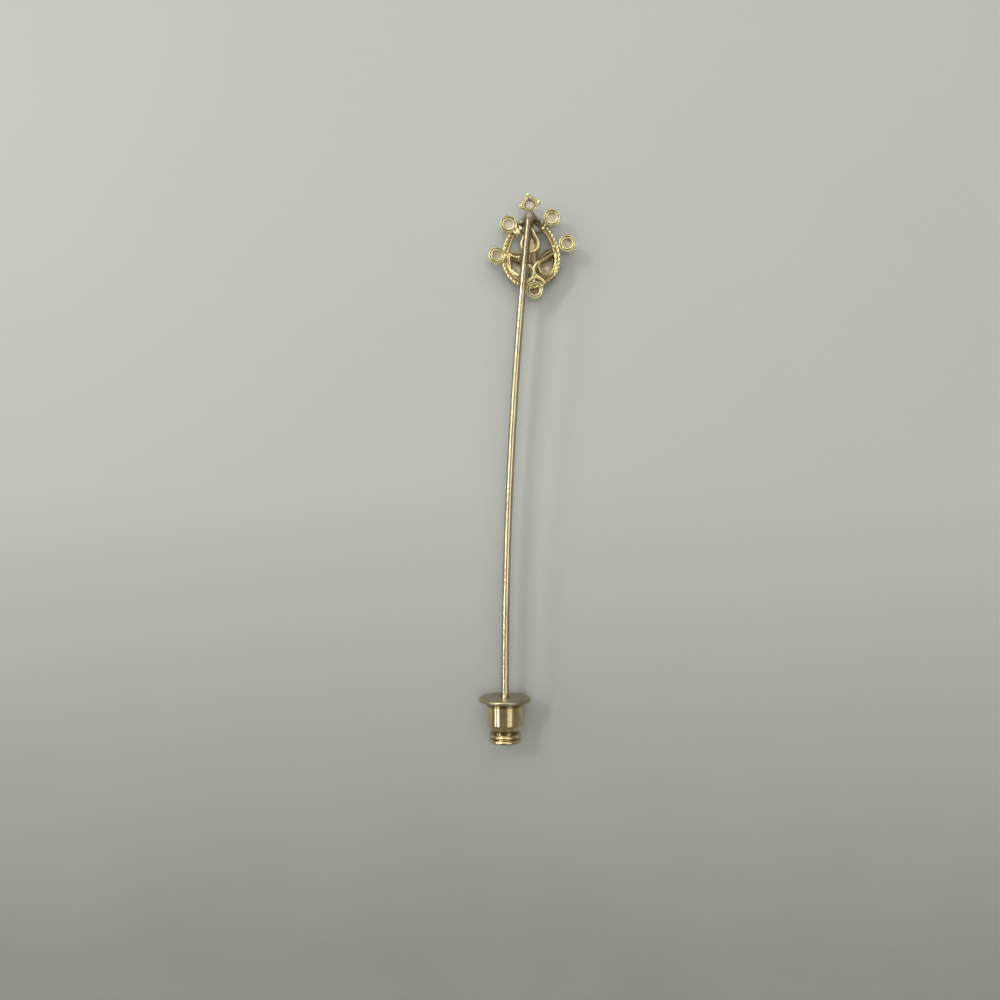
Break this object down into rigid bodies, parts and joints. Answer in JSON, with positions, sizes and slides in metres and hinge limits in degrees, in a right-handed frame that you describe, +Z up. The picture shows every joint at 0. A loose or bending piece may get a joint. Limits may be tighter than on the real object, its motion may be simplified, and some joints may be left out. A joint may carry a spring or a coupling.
{
  "type": "stick pin",
  "caption": "Gold-coloured stick pin: openwork pear-shaped head with dark pear stones and small set collets, bowed stem and slip-on clutch.",
  "frame": {"origin": "bottom centre of the pin's box, on the surface that it lies on", "axes": "+Y runs along the stem towards the head, +Z is up, away from the surface, and the head's back faces +Z"},
  "size_m": [0.0112, 0.0632, 0.006],
  "materials": {
    "gilt_brass": "worn polish",
    "dark_glass": "cut and polished",
    "clear_glass": "cut and polished",
    "grip_metal": "plain"
  },
  "bodies": {
    "pin": {"head_and_stem": "gilt_brass", "stone_centre": "dark_glass", "stone_left": "dark_glass", "stone_right": "dark_glass", "stone_top": "clear_glass", "stone_upper_right": "clear_glass", "stone_right_side": "clear_glass", "stone_bottom": "dark_glass", "stone_left_side": "clear_glass", "stone_upper_left": "clear_glass"},
    "clutch": {"clutch_flange": "gilt_brass", "clutch_barrel": "gilt_brass", "clutch_grip": "grip_metal"}
  },
  "joints": [
    {"name": "clutch_slide", "type": "slide", "parent": "pin", "child": "clutch", "axis": [0, -1, 0], "range_m": [0, 0.008]}
  ]
}
